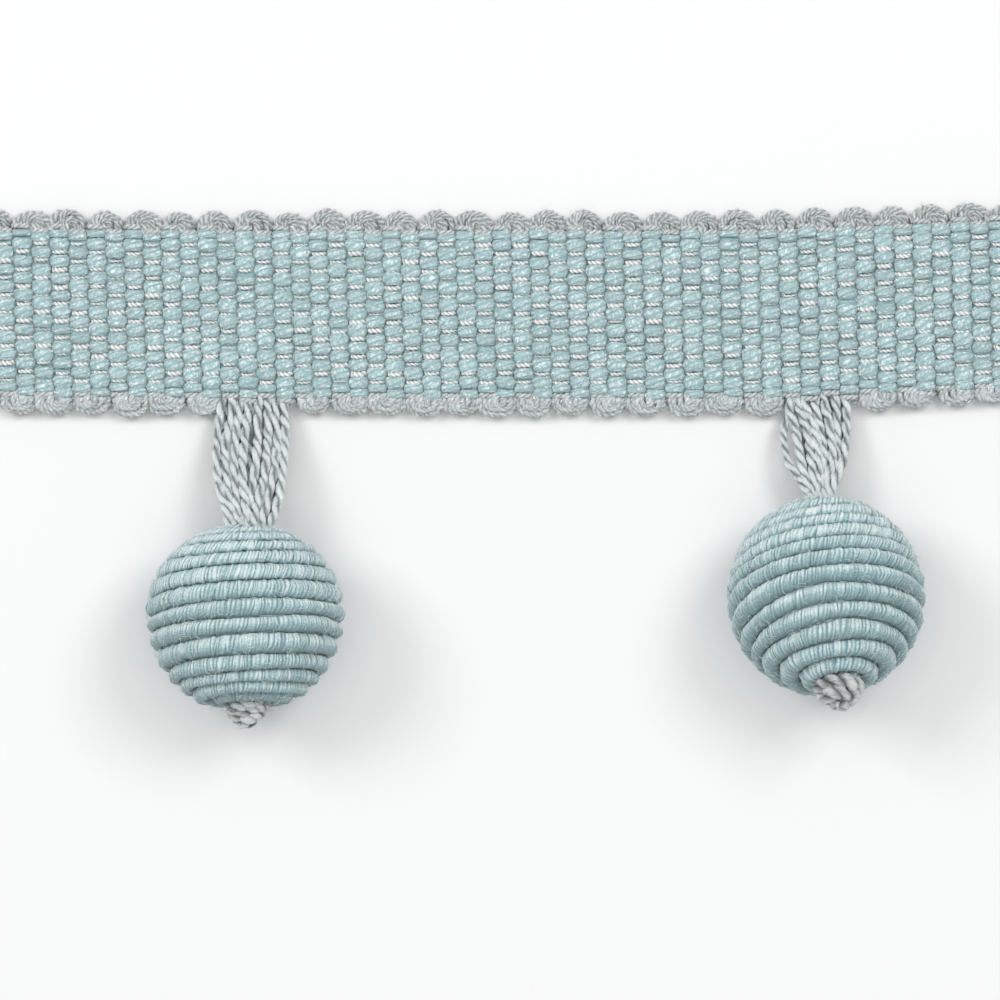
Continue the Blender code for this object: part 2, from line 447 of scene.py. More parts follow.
GLEAM_LEAST = 0.4  # of it between two fibres
BUMP_HEIGHT = 0.12
FIBRE_INDEX = 1.7
SHEEN = (0.3, 0.4)  # weight and roughness


def yarn_material(name, yarn):
    """Fibres drawn out along each yarn and loose ones over them, with painted shade in the grooves
    and painted highlights on the crests.
    """
    material, tree, shader = new_material(name)
    place = node(tree, "Attribute")
    place.attribute_name = "yarn"
    crest = node(tree, "Attribute")
    crest.attribute_name = "crest"
    fibres = noise_of(tree, place.outputs["Vector"], FIBRES._replace(fine=yarn.lie))
    loose = noise_of(tree, place.outputs["Vector"], LOOSE)
    slow = noise_of(tree, place.outputs["Vector"], SLOW)
    both = arithmetic(
        tree, "ADD",
        arithmetic(tree, "MULTIPLY", fibres, 1.0 - yarn.fuzz),
        arithmetic(tree, "MULTIPLY", loose, yarn.fuzz),
    )
    body = blend(tree, both, yarn.shade, yarn.light)
    aged = node(tree, "MapRange", [("Value", slow)], To_Min=AGED[0], To_Max=AGED[1])
    toned = node(tree, "VectorMath", [(0, body)])
    toned.operation = "SCALE"
    tree.links.new(aged.outputs["Result"], toned.inputs["Scale"])
    # painted shade: the groove's colour where the crest is low
    hollow = node(
        tree, "MapRange", [("Value", crest.outputs["Fac"])], From_Min=0.0, From_Max=yarn.open
    )
    groove_shaded = blend(tree, hollow.outputs["Result"], yarn.groove, toned.outputs[0])
    # painted highlight: white towards the top of each crest, broken by the fibres
    low, high = GLEAM_CREST
    top = node(tree, "MapRange", [("Value", crest.outputs["Fac"])], From_Min=low, From_Max=high)
    glint = node(tree, "MapRange", [("Value", fibres)], To_Min=GLEAM_LEAST, To_Max=1.0)
    gleam = arithmetic(tree, "MULTIPLY", top.outputs["Result"], glint.outputs["Result"])
    colour = blend(tree, arithmetic(tree, "MULTIPLY", gleam, yarn.gleam), groove_shaded, PAINTED_HIGHLIGHT)
    tree.links.new(colour, shader.inputs["Base Color"])
    relief = node(tree, "Bump", [("Height", both)], Strength=yarn.bump, Distance=BUMP_HEIGHT * MM)
    tree.links.new(relief.outputs["Normal"], shader.inputs["Normal"])
    shader.inputs["Roughness"].default_value = yarn.roughness
    shader.inputs["IOR"].default_value = FIBRE_INDEX
    shader.inputs["Specular IOR Level"].default_value = yarn.shine
    shader.inputs["Sheen Weight"].default_value = SHEEN[0]
    shader.inputs["Sheen Roughness"].default_value = SHEEN[1]
    return material


YARNS = {
    "blue": Yarn((0.34, 0.55, 0.58), (0.33, 0.54, 0.57), (0.88, 1.0, 1.0),
                 0.5, 0.75, 0.0, 1.0, 0.55, 0.15, FUZZY),
    "silver": Yarn((0.34, 0.33, 0.31), (0.72, 0.76, 0.76), (1.0, 1.0, 1.0),
                   0.6, 0.5, 0.5, 0.4, 0.3, 0.6, ALONG),
    # the weft core's dark teal is painted shade, for the gaps between the blue ends where it shows
    "core": Yarn((0.26, 0.44, 0.46), (0.26, 0.44, 0.46), (0.42, 0.6, 0.62),
                 0.5, 0.6, 0.0, 0.5, 0.6, 0.2, ALONG),
    "grey": Yarn((0.22, 0.23, 0.22), (0.63, 0.77, 0.78), (0.98, 1.0, 1.0),
                 0.7, 0.75, 1.0, 1.0, 0.3, 1.0, FUZZY),
    # painted light: the grey yarn made lighter for the lower picots, which face away from the
    # lamps
    "pale": Yarn((0.26, 0.27, 0.26), (0.78, 0.95, 0.96), (0.98, 1.0, 1.0),
                 0.4, 0.7, 1.0, 1.0, 0.3, 1.0, FUZZY),
    "strand": Yarn((0.12, 0.12, 0.11), (0.42, 0.51, 0.52), (0.84, 0.94, 0.95),
                   0.56, 0.45, 1.0, 0.8, 0.26, 1.0, ALONG),
    "knot": Yarn((0.07, 0.065, 0.055), (0.34, 0.37, 0.36), (0.74, 0.8, 0.8),
                 0.6, 0.6, 1.0, 1.0, 0.22, 1.0, ALONG),
    "gimp": Yarn((0.12, 0.23, 0.25), (0.23, 0.49, 0.53), (0.7, 0.95, 0.98),
                 0.82, 0.4, 1.0, 0.6, 0.25, 1.0, ROUND),
    "fuzz": Yarn((0.55, 0.72, 0.74), (0.55, 0.72, 0.74), (0.95, 1.0, 1.0),
                 0.5, 0.5, 0.0, 0.0, 0.5, 0.3, ALONG),
}

# ---------------- tape

# Where an end has its points, as shares of a rib's width: blue ends on the face and at the
# back, and twisted ends, whose plies need more.
FACE_STOPS = np.array((0.0, 0.07, 0.12, 0.2, 0.36, 0.5, 0.64, 0.8, 0.88, 0.93))
BACK_STOPS = np.array((0.0, 0.18, 0.5, 0.82))
TWIST_STOPS = np.arange(13) / 13
TWIST_BACK_STOPS = np.arange(6) / 6


class Course:
    """The rib that each point of a warp end is on, and its place within it."""

    def __init__(self, parity, face_stops, back_stops):
        ribs, shares = [], []
        for rib in range(RIBS):
            stops = face_stops if (rib + parity) % 2 == 0 else back_stops
            ribs.append(np.full(len(stops), rib))
            shares.append(stops)
        self.rib = np.concatenate(ribs + [[RIBS - 1]])
        self.share = np.concatenate(shares + [[1.0]])
        self.side = np.where((self.rib + parity) % 2 == 0, 1.0, -1.0)
        self.middle = np.abs(2 * self.share - 1)  # 0 in the middle of a rib, 1 at its sides


def warp_end(random, parity, y, swing, stops, crossing_shift, wander=0.03, uneven=0.05):
    """The line of one warp end, its course, and how full it is at each point (0 to 1)."""
    course = Course(parity, *stops)
    per_rib = random.normal(0.0, 1.0, (4, RIBS + 1))
    fall = np.minimum(course.middle / FALL_SHARE, 1.0) ** 4
    rise = swing * (1 + uneven * per_rib[0][course.rib]) * (1 - fall)
    aside = wander * per_rib[1][course.rib] * (1 - course.middle**2)
    rib = course.rib + course.share
    edge = np.clip(np.minimum(rib, RIBS - rib), 0.0, 1.0)
    jitter = RIB_JITTER * per_rib[2][np.round(rib).astype(int)] * course.middle**4 * edge
    x = rib_x(rib, y) + jitter
    height = MIDDLE + course.side * rise
    path = np.stack((x, y + drift(x) + aside + crossing_shift * course.middle**3, height), 1)
    return path, course, 1 - course.middle**5, per_rib[3]


def blue_end(random, parity, y, shift, half=BLUE_HALF):
    """A soft blue end, flat and full where it lies over a rib."""
    path, course, full, fat = warp_end(
        random, parity, y, BLUE_SWING, (FACE_STOPS, BACK_STOPS), shift, wander=0.05, uneven=0.07
    )
    width = half[0] * (CROSSING_WIDTH + (1 - CROSSING_WIDTH) * full)
    width *= 1 + BLUE_UNEVEN * fat[course.rib] * full
    height = half[1] * (CROSSING_THICKNESS + (1 - CROSSING_THICKNESS) * full)
    path = cut_ends(random, path)
    return spun(
        path, np.stack((width, height), 1), lobes=7, per_lobe=2, relief=0.06, twist=-0.66,
        start=random.uniform(0, 2 * pi), square=0.75, rough=0.055,
    )


def cut_ends(random, path):
    """The path with its two ends cut a little long."""
    path = path.copy()
    path[0, 0] -= random.uniform(0.0, CUT_SPREAD)
    path[-1, 0] += random.uniform(0.0, CUT_SPREAD)
    return path


def silver_end(random, parity, y, shift):
    """A thin silver end of two plies, of uneven thickness."""
    path, course, _, fat = warp_end(
        random, parity, y, SILVER_SWING, (TWIST_STOPS, TWIST_BACK_STOPS), shift, wander=0.06,
        uneven=0.2,
    )
    path = cut_ends(random, path)
    thick = (1 + SILVER_UNEVEN * fat[course.rib]).clip(0.6, 1.5)
    half = SILVER_RADIUS * thick[:, None] * np.ones(2)
    return spun(
        path, half, lobes=2, per_lobe=3, relief=0.42, twist=2 * pi / SILVER_PITCH,
        start=random.uniform(0, 2 * pi),
    )


def edge_end(random, parity, y):
    """A grey end of three plies, over which the weft turns back."""
    path, _, full, _ = warp_end(
        random, parity, y, EDGE_SWING, (TWIST_STOPS, TWIST_BACK_STOPS), 0.0
    )
    path = cut_ends(random, path)
    half = ((0.8 + 0.2 * full) * EDGE_RADIUS)[:, None] * np.ones(2)
    return spun(
        path, half, lobes=3, per_lobe=2, relief=0.3, twist=-2 * pi / EDGE_PITCH,
        start=random.uniform(0, 2 * pi), dark=0.8,
    )


def row_y(row):
    """How far a row lies from the tape's middle line."""
    return FIRST_ROW - ROW_PITCH * row


def edge_y(end):
    """How far an end beyond the rows lies from the tape's middle line."""
    return row_y(0 if end.side > 0 else ROWS - 1) + end.side * end.beyond


def weft_core(look):
    """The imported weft, a corrugated band through the middle of the weave."""
    across = np.linspace(-CORE_HALF_WIDTH, CORE_HALF_WIDTH, CORE_POINTS)
    rings = []
    for rib in np.arange(CORE_SECTIONS * RIBS + 1) / CORE_SECTIONS:
        swell = CORE_VALLEY + CORE_SWELL * abs(np.sin(pi * rib)) ** 0.7
        upper = [(rib_x(rib, y), y, MIDDLE + swell) for y in across]
        lower = [(rib_x(rib, y), y, MIDDLE - swell) for y in across[::-1]]
        rings.append(upper[::-1] + lower[::-1])
    rings = np.array(rings, float)
    rings[..., 1] += drift(rings[..., 0])
    along = distance_along(rings[:, 0])
    crest = np.full(rings.shape[:2], 0.6)
    return add_piece("weft_core", [Tube(rings, along, crest)], look)


def tape(looks):
    """The warp of the woven band, as pieces: blue ends, silver ends and edge ends."""
    random = np.random.default_rng(11)
    blue = [blue_end(random, row, row_y(row), BLUE_SHIFT) for row in range(ROWS)]
    silver = [silver_end(random, row + 1, row_y(row), SILVER_SHIFT) for row in range(ROWS)]
    selvedge = [
        blue_end(random, end.parity, edge_y(end), 0.0, SLIM_HALF) for end in SELVEDGE_ENDS
    ]
    edges = [edge_end(random, end.parity, edge_y(end)) for end in EDGE_ENDS]
    half = ROWS // 2
    pieces = [
        add_piece(name, tubes, looks[look])
        for name, tubes, look, slot in (
            ("blue_warp_upper", blue[:half], "blue", "tape_warp"),
            ("blue_warp_lower", blue[half:], "blue", "tape_warp"),
            ("blue_warp_edges", selvedge, "blue", "tape_warp"),
            ("silver_warp", silver, "silver", "tape_warp"),
            ("edge_warp", edges, "grey", "edge_yarn"),
        )
    ]
    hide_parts("heading")
    return pieces


# ---------------- picots

# One arch of weft yarn within a picot: half its width, where its line starts and how far
# it reaches, both from the tape's middle line, its height, and the yarn's half width,
# half thickness and plies.
Arch = namedtuple("Arch", "half start reach height thick deep plies")
UPPER_ARCHES = (
    Arch(1.46, 8.5, 9.72, 0.8, 0.46, 0.46, 3),
    Arch(0.82, 8.45, 9.35, 1.0, 0.46, 0.42, 3),
    Arch(0.3, 8.4, 8.95, 1.1, 0.42, 0.4, 4),
    Arch(1.15, 8.55, 9.6, 1.3, 0.28, 0.24, 3),
    Arch(0.55, 8.5, 9.15, 1.42, 0.26, 0.24, 3),
)
LOWER_ARCHES = (
    Arch(1.46, 8.35, 9.4, 1.1, 0.46, 0.46, 3),
    Arch(0.8, 8.3, 9.05, 1.35, 0.46, 0.44, 3),
    Arch(0.3, 8.25, 8.7, 1.45, 0.42, 0.42, 4),
    Arch(1.15, 8.35, 9.2, 1.62, 0.3, 0.26, 3),
    Arch(0.5, 8.3, 8.8, 1.72, 0.28, 0.26, 3),
)
PLY_STEP = 0.54  # along a yarn, from one ply to the next
TWIST_SPREAD = 0.1  # how much one yarn's twist differs from the next
FOOT_LENGTH = 0.9  # of an arch's legs, under the edge ends
FOOT_HEIGHT = 0.8
# How much one picot, and one arch within it, differs from the next: in width (as a share),
# reach and place along the tape.
Spread = namedtuple("Spread", "width reach place")
PICOT_SPREAD = Spread(0.04, 0.07, 0.08)
ARCH_SPREAD = Spread(0.07, 0.09, 0.08)
ARCH_LEAN = 0.2  # how much higher one leg of an arch may lie than the other
ARCH_SWELL = 0.1  # how much higher its middle lies than its legs
PICOT_LINE = 9.0  # from the tape's middle line, where a picot's place along the tape is read


def picot(random, rib, side, arches, squareness):
    """The arches of one picot, which joins the ribs on both sides of a rib line. They are
    half rounds at a squareness of 1, and boxier below it."""
    tubes = []
    wide = random.normal(1.0, PICOT_SPREAD.width)
    far = random.normal(0, PICOT_SPREAD.reach)
    shift = random.normal(0, PICOT_SPREAD.place)
    for arch in arches:
        turn = np.linspace(0.0, pi, 13)
        half = arch.half * wide * random.normal(1.0, ARCH_SPREAD.width)
        reach = arch.reach - arch.start + far + random.normal(0, ARCH_SPREAD.reach)
        x = -half * np.sign(np.cos(turn)) * np.abs(np.cos(turn)) ** squareness
        out = arch.start + reach * np.sin(turn) ** squareness
        x = np.concatenate(([-half * 0.92], x, [half * 0.92]))
        out = np.concatenate(([arch.start - FOOT_LENGTH], out, [arch.start - FOOT_LENGTH]))
        lean = random.normal(0, ARCH_LEAN) * np.linspace(-1, 1, len(x))
        rise = arch.height + lean + ARCH_SWELL * np.sin(np.linspace(0, pi, len(x)))
        rise[0] = rise[-1] = FOOT_HEIGHT
        x = rib_x(rib, side * PICOT_LINE) + shift + random.normal(0, ARCH_SPREAD.place) + x
        path = even_path(np.stack((x, drift(x) + side * out, rise), 1), 0.17)
        twist = -side * 2 * pi / (arch.plies * PLY_STEP) * random.normal(1, TWIST_SPREAD)
        tubes.append(spun(
            path, (arch.thick, arch.deep), arch.plies, per_lobe=3, relief=0.26, twist=twist,
            start=random.uniform(0, 2 * pi), rough=0.14,
        ))
    return tubes


def picots(looks):
    """A comb of picots along each edge, with none where the strands leave the tape."""
    random = np.random.default_rng(23)
    upper, lower = [], []
    for rib in range(1, RIBS, 2):
        upper += picot(random, rib, 1, UPPER_ARCHES, 1.0)
    bare = [(drop.rib - 2, drop.rib + 2) for drop in DROPS]
    for rib in range(2, RIBS, 2):
        if not any(low < rib < high for low, high in bare):
            lower += picot(random, rib, -1, LOWER_ARCHES, 0.8)
    return [
        add_piece("upper_picots", upper, looks["grey"], ["upper_loops"]),
        # painted light: the lower picots take the lighter copy of the grey yarn, as they face away
        # from the lamps
        add_piece("lower_picots", lower, looks["pale"], ["lower_loops"]),
    ]


# ---------------- drops

# How far a strand lies to one side of its bundle's middle at five places from the tape to
# the bead, and how far above the bundle's middle it lies, as a share of a strand.
Strand = namedtuple("Strand", "tape upper middle lower bead lift")
LONG_STRANDS = (
    Strand(-3.15, -3.55, -3.7, -2.95, -2.0, 0.4),
    Strand(-2.35, -2.75, -2.85, -2.3, -1.7, 0.6),
    Strand(-1.6, -1.9, -1.95, -1.6, -1.3, 0.45),
    Strand(-0.85, -1.1, -1.1, -1.05, -0.9, 0.6),
    Strand(0.35, 0.3, 0.05, -0.45, -0.5, 0.5),
    Strand(1.15, 1.15, 0.9, 0.35, 0.0, 0.62),
    Strand(1.95, 2.05, 1.8, 1.2, 0.5, 0.45),
    Strand(2.75, 2.9, 2.7, 2.05, 0.9, 0.4),
    Strand(-2.7, -3.1, -3.2, -2.5, -1.8, -0.45),
    Strand(-1.2, -1.5, -1.6, -1.3, -1.0, -0.5),
    Strand(-0.25, -0.45, -0.6, -0.7, -0.6, -0.4),
    Strand(0.8, 0.6, 0.4, 0.0, -0.2, -0.5),
    Strand(2.3, 2.4, 2.2, 1.6, 0.7, -0.45),
)
SHORT_STRANDS = (
    Strand(-2.75, -3.3, -3.35, -1.75, -1.0, 0.3),
    Strand(-2.6, -2.3, -2.0, -1.3, -0.8, 0.6),
    Strand(-1.9, -1.4, -1.1, -0.85, -0.6, 0.45),
    Strand(-1.2, -0.6, -0.3, -0.45, -0.35, 0.6),
    Strand(-0.4, 0.1, 0.35, -0.1, -0.1, 0.5),
    Strand(0.5, 0.9, 1.0, 0.25, 0.1, 0.62),
    Strand(1.5, 1.7, 1.55, 0.6, 0.3, 0.4),
    Strand(2.5, 2.45, 2.05, 0.95, 0.5, 0.5),
    Strand(-1.9, -1.9, -1.7, -1.2, -0.7, -0.45),
    Strand(-0.6, -0.3, 0.0, -0.4, -0.3, -0.5),
    Strand(0.9, 1.0, 0.9, 0.2, 0.1, -0.5),
    Strand(2.1, 2.1, 1.7, 0.7, 0.4, -0.45),
)
STRAND_RADIUS = 0.45
STRAND_PITCH = 3.3  # length of one full turn of its two plies
STRAND_PLY = 0.28  # radius of one ply
STRAND_OFFSET = 0.2  # from the middle of a strand to the middle of a ply
STRAND_START = (7.9, 0.55)  # below the tape's middle line and above the ground
STRAND_STOPS = np.array((0.0, 0.1, 0.3, 0.55, 0.8, 1.0))  # where the lines have their points
STRAND_WANDER = (0.1, 0.05)  # how far a strand strays sideways and in height
UNDER_SHADED_TONE = 0.55  # painted shade: how light the strands are painted that lie under the others, in their shade
BORE_ENTRY = 1.2  # how far into the bead the strands go

# The grooves between a bead's turns: how far each lies from the knotted pole, in degrees.
LONG_GROOVES = (
    0.5, 14, 27.5, 38.2, 47.1, 57.3, 70.6, 81.3, 90.8, 104.1, 117.2, 127.7, 138.7, 149.8, 160, 170,
)
SHORT_GROOVES = (
    0.5, 13, 25.5, 39.1, 51, 62.2, 73.8, 86.6, 97.4, 106.4, 114.7, 124.9, 136, 148, 160, 171,
)

# A knot's half width, half depth and length, its turns, where they start, how far they
# narrow, how much they slant, and its yarn's half thickness and length of one full twist.
Knot = namedtuple("Knot", "across deep length turns start taper slant yarn pitch")
# tilt lifts a bead's knot off the ground and lean swings it sideways; entry is how far to
# one side of the bore the strands go in, shift how far the knot sits to one side of it;
# mouth is how far from the pole the cord lies sunk in the bore's mouth, in degrees; flatness
# and bluntness are the bead's lengths towards the strands and towards the knot, as shares of
# its radius.
Drop = namedtuple(
    "Drop", "side rib tilt lean entry shift mouth flatness bluntness strands grooves knot"
)
DROPS = (
    Drop("left", 15, radians(8), radians(1.5), 1.0, 0.2, 27.0, 0.9, 1.028, LONG_STRANDS,
         LONG_GROOVES, Knot(2.25, 2.1, 3.1, 2.8, 0.6, 0.85, -0.3, 0.6, 1.9)),
    Drop("right", 45, radians(25), radians(5.5), 0.8, 0.0, 9.0, 1.04, 1.0, SHORT_STRANDS,
         SHORT_GROOVES, Knot(2.65, 2.5, 4.0, 2.7, 2.6, 0.85, 0.2, 0.8, 2.4)),
)
UNDER_BALL = 0.85  # how far below the cord's crests the ball inside it lies
DIMPLE_EDGE = 12  # degrees from a pole, where its dimple ends
BALL_PLACES = (2, 6, 11, 14, *range(20, 161, 7), 166, 169, 174, 178)  # of its rings, too
BALL_POINTS = 48
# painted shade of the ball inside the cord, which shows only in the gaps between its turns
BALL_SHADED_TONE = 0.4
KNOT_SEAT = 1.6  # how far into the bead a knot starts
KNOT_PLY = (0.58, 0.48)  # its plies' radius and offset, as shares of its yarn's half thickness
KNOT_POINTS = 60
KNOT_WANDER = 0.04  # how far its yarn strays to one side
KNOT_FALL = 4.0  # how fast the painted shade on its plies deepens inwards

# The cord wound round a bead. Places on a bead are in degrees from its knotted pole.
THREAD_PITCH = 0.37  # between the wraps of fine thread on the cord
PITCH_SPREAD = 0.28  # how much the wraps differ in it, as a share
THREAD_RELIEF = 0.11  # how far a wrap stands up
RELIEF_SPREAD = 0.45
WRAP_RAGGED = 0.05  # how much the wraps differ in their reach across the cord
WRAP_SKEW = (0.2, 0.11)  # how far round its bead a wrap leans, and how much that differs
WRAP_CURVE = 0.05
GROOVE_WANDER = 0.75  # how far, in degrees, a groove strays from its place
GROOVE_STEP = 0.13  # between the places where it strays, in turns
CORD_RADIUS = 9.45  # from the bead's middle to the cord's crest, below the ridges of thread
CORD_RELIEF = (0.74, 0.28)  # depth of its grooves on the knot's side and on the strands'
RELIEF_PLACES = (95, 145)  # the places between which that changes
MOUTH_DEPTH = 0.5  # how far the cord sinks where it goes into the mouth
MOUTH_BLEND = 8  # degrees over which it sinks
GIMP_SHADED_TONE = (0.45, 0.73, 0.98)  # painted shade: how light it is in the mouth, past it and from BRIGHT on, darkest in the mouth and towards the knot
MOUTH_EDGE = 4  # degrees to each side of the mouth's place, where the first tone goes over
BRIGHT = 110
UPPER_PLACES = (80, 110)  # between these places the lit side of the cord changes
GROOVE_LIGHT = (0.4, 0.3)  # how light the painted shade in the grooves between wraps is, and how much that differs
WRAP_SHINE = 0.11  # how much the wraps differ in how light they are

# Section of the cord: across the turn, and how high it stands, with the depth of its grooves
# in the same measure and the height below which it is inside the bead. Then how light each
# of its points is painted, lit on the side that faces the light and shaded on the other, on
# turns before the places above and after them.
CORD_SECTION = np.array((
    (-1.0, -0.8), (-0.88, -0.02), (-0.52, 0.68), (0.0, 1.0),
    (0.52, 0.68), (0.88, -0.02), (1.0, -0.8), (0.0, -1.2),
))
SECTION_DEPTH = 1.3
SECTION_INSIDE = -0.9
LIT_BELOW = np.array((0.0, 0.12, 0.33, 0.64, 1.0, 1.0, 0.15, 0.0))
LIT_ABOVE = np.array((0.15, 0.6, 0.92, 0.86, 0.68, 0.4, 0.1, 0.0))

# Section of one wrap of thread along the cord: where its points are, and how high.
WRAP_STEPS = np.array((0.0, 0.22, 0.5, 0.78))
WRAP_BULGE = np.array((0.0, 0.8, 1.0, 0.75))


def bead_frame(drop):
    """Bead space to the world, in millimetres: its Z runs down the bore to the knot."""
    low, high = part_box(f"bead_{drop.side}")
    centre = (low + high) / 2 / MM
    down = Matrix.Rotation(radians(90) - drop.tilt, 4, "X")
    return Matrix.Translation(centre) @ Matrix.Rotation(drop.lean, 4, "Z") @ down


def placed(matrix, points):
    """Points in bead space, moved to the world."""
    matrix = np.array(matrix)
    return points @ matrix[:3, :3].T + matrix[:3, 3]


def hanger(random, drop, looks):
    """The strands from the tape's edge to a bead."""
    x = rib_x(drop.rib)
    start = np.array((x, drift(x) - STRAND_START[0], STRAND_START[1]))
    place = bead_frame(drop)
    end = place @ Vector((drop.entry, 0.0, BORE_ENTRY - drop.flatness * BEAD_RADIUS))
    end = np.array(end)
    tubes = []
    for strand in drop.strands:
        offsets = np.array((strand.tape, strand.tape, strand.upper, strand.middle,
                            strand.lower, strand.bead))
        line = start + (end - start) * STRAND_STOPS[:, None]
        line[:, 0] += offsets
        line[:, 2] += 2 * STRAND_RADIUS * strand.lift * (0.9 + 0.15 * STRAND_STOPS)
        line[:, 2] += random.normal(0, STRAND_WANDER[1], len(line))
        line[1:-1, 0] += random.normal(0, STRAND_WANDER[0], len(line) - 2)
        line[:2, 1] += drift(line[:2, 0]) - drift(x)
        path = even_path(line, 0.15)
        twist = -2 * pi / STRAND_PITCH * random.normal(1, TWIST_SPREAD)
        tubes += plied(
            path, 2, STRAND_PLY, STRAND_OFFSET, twist, random.uniform(0, 2 * pi),
            tone=1.0 if strand.lift > 0 else UNDER_SHADED_TONE,
        )
    nodes = [f"hanger_{drop.side}"]
    add_piece(f"strands_{drop.side}", tubes, looks["strand"], nodes)


def cord_course(random, drop):
    """Where each point down a bead's cord is: the distance along the cord, the turn, and the
    middle of the cord and half its width, as angles from the knotted pole."""
    rows = list(enumerate(drop.grooves))
    last = len(rows) - 2
    fine = np.linspace(0.0, last, 4000)
    knots = np.arange(0.0, last + 3, GROOVE_STEP)
    wander = np.stack((knots, GROOVE_WANDER * random.normal(0, 1, len(knots))), 1)

    def groove_at(turn):
        """The groove's place at a turn, in degrees."""
        return smooth_read(rows, turn) + smooth_read(wander, turn)

    polar = np.radians((groove_at(fine) + groove_at(fine + 1)) / 2)
    run = np.concatenate(([0.0], np.cumsum(
        BEAD_RADIUS * np.sin((polar[1:] + polar[:-1]) / 2) * 2 * pi * np.diff(fine)
    )))
    wraps = int(run[-1] / THREAD_PITCH)
    pitch = 1 + PITCH_SPREAD * random.normal(0, 1, wraps).clip(-2, 2)
    marks = np.concatenate(([0.0], np.cumsum(pitch)))
    marks *= run[-1] / marks[-1]
    where = (marks[:-1, None] + np.diff(marks)[:, None] * WRAP_STEPS).reshape(-1)
    turn = np.interp(where, run, fine)
    groove, following = groove_at(turn), groove_at(turn + 1)
    return where, turn, np.radians((groove + following) / 2), np.radians((following - groove) / 2)


def gimp(random, drop):
    """The cord wound round a bead, with every wrap of its fine thread as a ridge."""
    where, turn, centre, half = cord_course(random, drop)
    wraps, steps = len(where) // len(WRAP_STEPS), len(WRAP_STEPS)
    uneven = (1 + RELIEF_SPREAD * random.normal(0, 1, wraps)).clip(0.2, 2.0)
    relief = ((THREAD_RELIEF * uneven)[:, None] * WRAP_BULGE).reshape(-1)
    across_share, stand = CORD_SECTION.T
    ragged = np.repeat(1 + WRAP_RAGGED * random.normal(0, 1, wraps), steps)
    across = across_share[None, :] * (half * ragged)[:, None]
    depth = np.interp(np.degrees(centre), RELIEF_PLACES, CORD_RELIEF)
    outer = stand > SECTION_INSIDE
    height = depth[:, None] * (stand - 1.0) / SECTION_DEPTH + relief[:, None] * outer
    lean, lean_spread = WRAP_SKEW
    skew = np.repeat(lean + lean_spread * random.normal(0, 1, wraps), steps)[:, None]
    slant = skew * across_share + WRAP_CURVE * np.cos(across_share * pi)
    inside = np.clip((drop.mouth - np.degrees(centre)) / MOUTH_BLEND, 0, 1)[:, None]
    radius = CORD_RADIUS + height - MOUTH_DEPTH * inside
    low = centre[:, None] + across
    azimuth = pi / 2 - 2 * pi * turn[:, None] - slant / (BEAD_RADIUS * np.sin(centre[:, None]))
    rings = np.stack((
        radius * np.sin(low) * np.cos(azimuth),
        radius * np.sin(low) * np.sin(azimuth),
        flattened(drop, radius * np.cos(low)),
    ), -1)
    return Tube(rings, where, cord_painted_light(random, drop, centre))


def cord_painted_light(random, drop, centre):
    """Painted light and shade on a bead's cord: how lit each point is, lightest on the side of it
    that faces the light, less in the grooves between its wraps of thread and in the mouth of
    the bead."""
    wraps, steps = len(centre) // len(WRAP_STEPS), len(WRAP_STEPS)
    start, end = UPPER_PLACES
    upper = np.clip((np.degrees(centre) - start) / (end - start), 0, 1)[:, None]
    lit = (1 - upper) * LIT_BELOW + upper * LIT_ABOVE
    fullness = np.tile(WRAP_BULGE, (wraps, 1))
    fullness[:, 0] = random.normal(*GROOVE_LIGHT, wraps).clip(0.0, 1.0)
    places = (drop.mouth - MOUTH_EDGE, drop.mouth + MOUTH_EDGE, BRIGHT)
    tone = np.interp(np.degrees(centre), places, GIMP_SHADED_TONE)
    shine = np.repeat((1 + WRAP_SHINE * random.normal(0, 1, wraps)).clip(0.55, 1.4), steps)
    return (fullness.reshape(-1) * tone * shine)[:, None] * lit


def flattened(drop, height):
    """Heights along a bead's bore, drawn in on the side of the strands and of the knot."""
    return np.where(height < 0, drop.flatness * height, drop.bluntness * height)


def under_ball(drop):
    """The bead inside the cord, with a dimple at each end of its bore."""
    polar = np.radians(BALL_PLACES)
    to_pole = np.minimum(np.degrees(polar), 180 - np.degrees(polar))
    dimple = DIMPLE * (1 - np.clip(to_pole / DIMPLE_EDGE, 0, 1) ** 2)
    radius = BEAD_RADIUS - UNDER_BALL - dimple
    angle = np.linspace(0, 2 * pi, BALL_POINTS + 1)[:-1]
    rings = np.stack((
        (radius * np.sin(polar))[:, None] * np.cos(-angle),
        (radius * np.sin(polar))[:, None] * np.sin(-angle),
        flattened(drop, radius * np.cos(polar))[:, None] * np.ones(BALL_POINTS),
    ), -1)
    return Tube(rings, distance_along(rings[:, 0]), np.full(rings.shape[:2], BALL_SHADED_TONE))


def bead(random, drop, looks):
    """A bead: its wound cord, and the ball inside it."""
    place = bead_frame(drop)
    tubes = []
    for tube in (gimp(random, drop), under_ball(drop)):
        tubes.append(tube._replace(rings=placed(place, tube.rings)))
    nodes = [f"bead_{drop.side}"]
    add_piece(f"gimp_{drop.side}", tubes, looks["gimp"], nodes)


